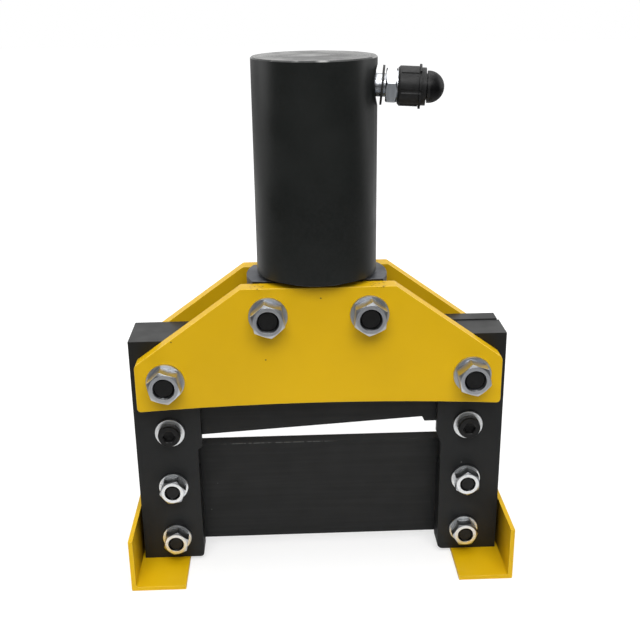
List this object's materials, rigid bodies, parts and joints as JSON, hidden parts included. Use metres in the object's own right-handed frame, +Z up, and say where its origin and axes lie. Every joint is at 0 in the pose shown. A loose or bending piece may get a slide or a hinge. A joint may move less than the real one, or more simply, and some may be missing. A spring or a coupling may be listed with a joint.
{
  "type": "hydraulic busbar cutter",
  "caption": "Bench-standing hydraulic cutter that shears flat busbars between a fixed lower blade and a slanted upper blade driven by a single-acting cylinder.",
  "frame": {"origin": "on the floor under the feet, at the middle of the footprint", "axes": "+Z up along the cylinder, +X across the opening towards the oil port, +Y from the front, where the nuts are, to the rear"},
  "size_m": [0.312, 0.128, 0.4148],
  "materials": {
    "cylinder_black": "satin black",
    "block_steel": "blackened",
    "post_black": "matte black oxide",
    "blade_steel": "blackened tool steel",
    "yellow_paint": "semi-gloss powder coat",
    "zinc": "bright zinc",
    "black_bolt": "black oxide",
    "bronze": "machined",
    "polished_steel": "ground and polished",
    "spring_steel": "oil tempered",
    "black_rubber": "matte",
    "seal_blue": "satin",
    "wear_resin": "matte",
    "black_plastic": "moulded, satin"
  },
  "bodies": {
    "frame": {"cylinder_body": "cylinder_black", "base_block": "block_steel", "rod_bush": "bronze", "rod_wiper": "black_rubber", "front_plate": "yellow_paint", "rear_plate": "yellow_paint", "left_post": "post_black", "right_post": "post_black", "right_post_rear_bar": "post_black", "lower_blade": "blade_steel", "left_foot": "yellow_paint", "right_foot": "yellow_paint", "plate_bolts": "black_bolt", "plate_nuts": "zinc", "plate_washers": "zinc", "blade_bolts": "black_bolt", "blade_nuts": "zinc", "blade_washers": "zinc", "post_screws": "black_bolt", "post_screw_washers": "zinc", "foot_screws": "black_bolt", "coupler_body": "zinc", "coupler_washer": "black_rubber", "coupler_insert": "spring_steel", "poppet_spring": "spring_steel", "return_spring": "spring_steel"},
    "ram": {"piston": "block_steel", "piston_seal": "seal_blue", "piston_wear_ring": "wear_resin", "piston_screw": "black_bolt", "ram_rod": "polished_steel", "rod_pin": "polished_steel", "blade_holder": "block_steel", "upper_blade": "blade_steel", "holder_screws": "black_bolt"},
    "dust_cap": {"dust_cap": "black_plastic", "cap_gasket": "black_rubber"},
    "poppet": {"poppet": "polished_steel"}
  },
  "joints": [
    {"name": "ram_slide", "type": "slide", "parent": "frame", "child": "ram", "axis": [0, 0, -1], "range_m": [0, 0.028], "stiffness_N_per_m": 13000, "springref_m": -0.027, "deforming": ["return_spring"]},
    {"name": "cap_pull", "type": "slide", "parent": "frame", "child": "dust_cap", "axis": [0.9936, -0.1044, -0.0436], "range_m": [0, 0.03]},
    {"name": "poppet_push", "type": "slide", "parent": "frame", "child": "poppet", "axis": [-0.9936, 0.1044, 0.0436], "range_m": [0, 0.0025], "stiffness_N_per_m": 4900, "springref_m": -0.002}
  ]
}
